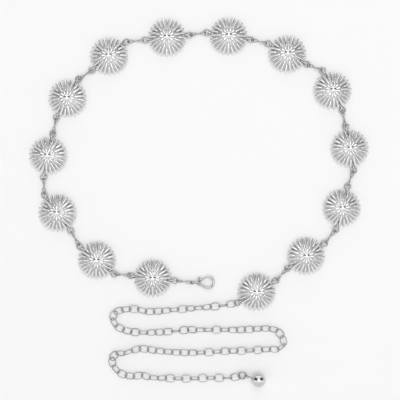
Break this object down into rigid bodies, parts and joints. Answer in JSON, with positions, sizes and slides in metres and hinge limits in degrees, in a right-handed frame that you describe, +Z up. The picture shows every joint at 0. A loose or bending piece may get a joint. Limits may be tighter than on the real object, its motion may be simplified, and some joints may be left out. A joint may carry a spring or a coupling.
{
  "type": "waist chain",
  "caption": "Silver-coloured waist chain of domed flower medallions on rings and twisted links, with a sprung hook clasp and a long extension chain that ends in a ball.",
  "frame": {"origin": "the point of the surface that the chain lies on, near the middle of the loop, at the middle of the picture", "axes": "+Z up out of the surface towards the viewer, +Y towards the top of the picture, +X to its right"},
  "size_m": [0.2373, 0.2577, 0.0096],
  "materials": {
    "flower_metal": "polished silver-coloured casting, slightly darker in its recesses",
    "wire_metal": "bright drawn wire",
    "polished_metal": "mirror polished"
  },
  "bodies": {
    "chain": {"flower_01": "flower_metal", "flower_02": "flower_metal", "flower_03": "flower_metal", "flower_04": "flower_metal", "flower_05": "flower_metal", "flower_06": "flower_metal", "flower_07": "flower_metal", "flower_08": "flower_metal", "flower_09": "flower_metal", "flower_10": "flower_metal", "flower_11": "flower_metal", "flower_12": "flower_metal", "flower_13": "flower_metal", "flower_14": "flower_metal", "twisted_link_01": "wire_metal", "twisted_link_02": "wire_metal", "twisted_link_03": "wire_metal", "twisted_link_04": "wire_metal", "twisted_link_05": "wire_metal", "twisted_link_06": "wire_metal", "twisted_link_07": "wire_metal", "twisted_link_08": "wire_metal", "twisted_link_09": "wire_metal", "twisted_link_10": "wire_metal", "twisted_link_11": "wire_metal", "twisted_link_12": "wire_metal", "twisted_link_13": "wire_metal", "twisted_link_14": "wire_metal", "jump_rings_left": "wire_metal", "jump_rings_top": "wire_metal", "jump_rings_right": "wire_metal", "extension_chain": "wire_metal", "end_ring": "wire_metal", "end_ball": "polished_metal", "clasp_body": "polished_metal"},
    "lever": {"clasp_lever": "polished_metal"}
  },
  "joints": [
    {"name": "lever_hinge", "type": "hinge", "parent": "chain", "child": "lever", "pos_m": [-0.0012, -0.05715, 0.00125], "axis": [0, 0, -1], "range_deg": [0, 20], "stiffness_Nm_per_rad": 0.002}
  ]
}
